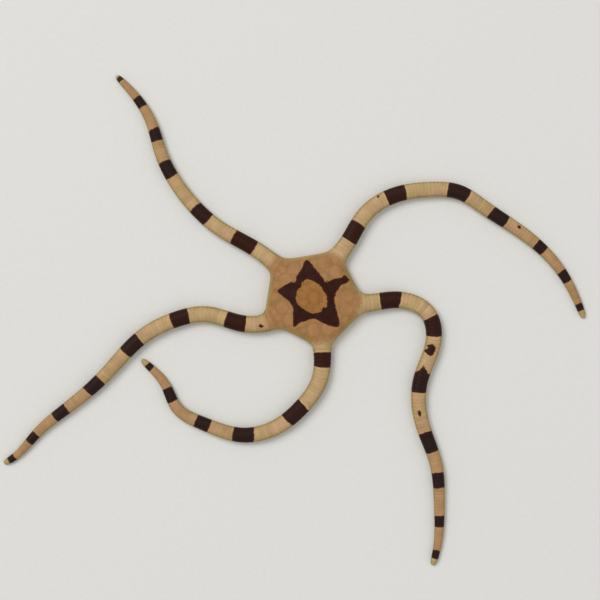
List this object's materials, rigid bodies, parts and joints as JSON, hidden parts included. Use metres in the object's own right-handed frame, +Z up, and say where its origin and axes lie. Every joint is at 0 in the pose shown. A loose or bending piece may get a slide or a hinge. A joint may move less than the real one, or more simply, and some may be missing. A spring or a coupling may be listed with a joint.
{
  "type": "brittle star",
  "caption": "Life-size banded brittle star resting flat, with a plated disc and long bending arms that taper to fine tips.",
  "frame": {"origin": "middle of the floor area that the animal covers, on the surface it rests on", "axes": "+Z up out of the back, +X along the animal's longest reach, to the right of the picture, +Y up the picture"},
  "size_m": [0.1606, 0.1354, 0.0052],
  "materials": {
    "disc": "satin, plated, tan with a dark brown star",
    "arm": "satin, ringed, cream with dark brown bands",
    "jaw": "satin, pale cream"
  },
  "bodies": {
    "root": {"arm_a_inner": "arm", "arm_a_middle": "arm", "arm_a_outer": "arm", "arm_a_root": "arm", "arm_a_tip": "arm", "arm_b_inner": "arm", "arm_b_middle": "arm", "arm_b_outer": "arm", "arm_b_root": "arm", "arm_b_tip": "arm", "arm_c_inner": "arm", "arm_c_middle": "arm", "arm_c_outer": "arm", "arm_c_root": "arm", "arm_c_tip": "arm", "arm_d_inner": "arm", "arm_d_middle": "arm", "arm_d_outer": "arm", "arm_d_root": "arm", "arm_d_tip": "arm", "arm_e_inner": "arm", "arm_e_middle": "arm", "arm_e_outer": "arm", "arm_e_root": "arm", "arm_e_tip": "arm", "disc": "disc", "jaw_ab": "jaw", "jaw_bc": "jaw", "jaw_cd": "jaw", "jaw_de": "jaw", "jaw_ea": "jaw"}
  },
  "joints": []
}
